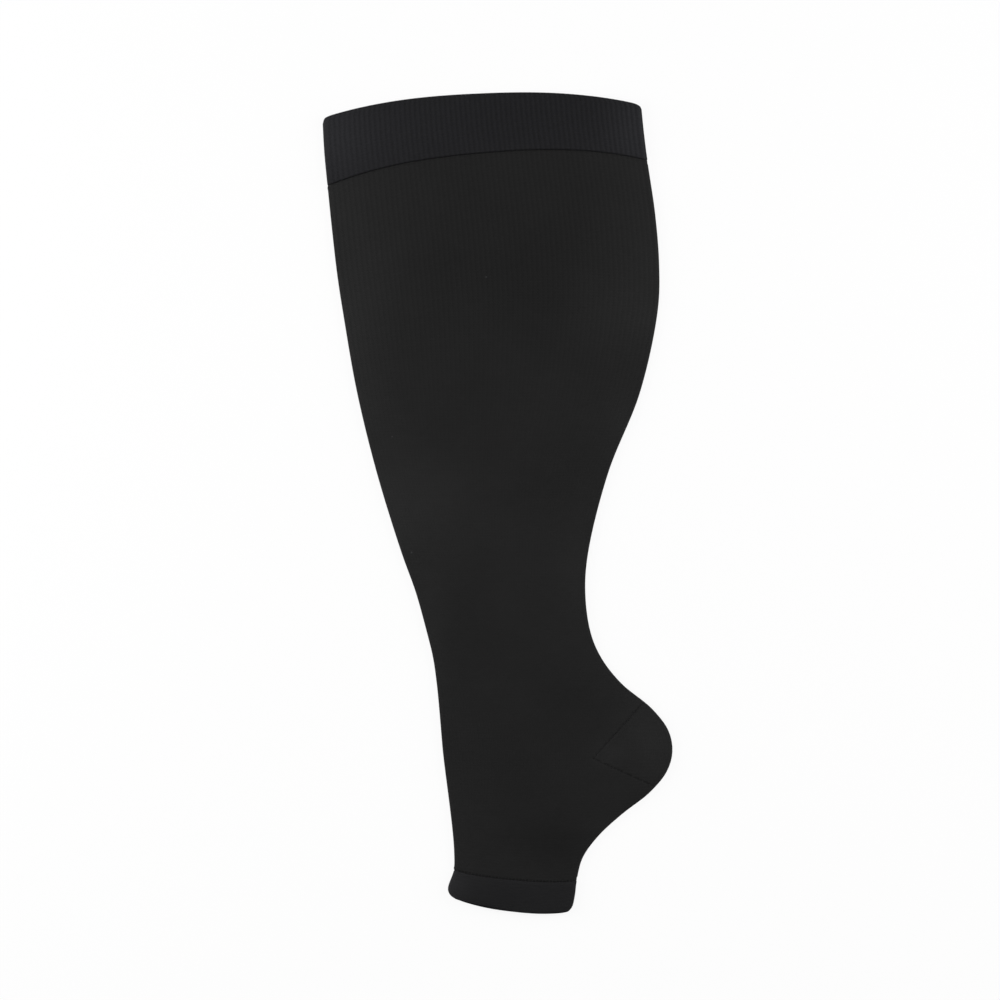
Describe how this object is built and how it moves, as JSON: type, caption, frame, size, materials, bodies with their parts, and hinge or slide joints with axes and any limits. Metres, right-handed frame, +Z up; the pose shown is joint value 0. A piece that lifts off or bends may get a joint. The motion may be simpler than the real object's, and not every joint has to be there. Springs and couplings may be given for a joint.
{
  "type": "open-toe compression stocking",
  "caption": "Knee-high open-toe compression stocking for a wide calf, laid flat, with a doubled ribbed welt, a heel pocket and a doubled toe band.",
  "frame": {"origin": "under the middle of the whole stocking's box, on the surface that it lies on", "axes": "+Z up, out of the surface that it lies on; +Y along the leg from the toe to the welt; +X from the shin fold to the calf and heel fold"},
  "size_m": [0.1922, 0.4504, 0.0079],
  "materials": {
    "rib_knit": "matte black rib knit of nylon and elastane, turned double",
    "leg_knit": "matte black compression knit of nylon and elastane",
    "heel_knit": "matte black plain knit, slightly open",
    "band_knit": "matte black elastic knit, turned double"
  },
  "bodies": {
    "root": {"top_welt": "rib_knit", "leg_and_foot": "leg_knit", "heel_pocket": "heel_knit", "toe_band": "band_knit"}
  },
  "joints": []
}
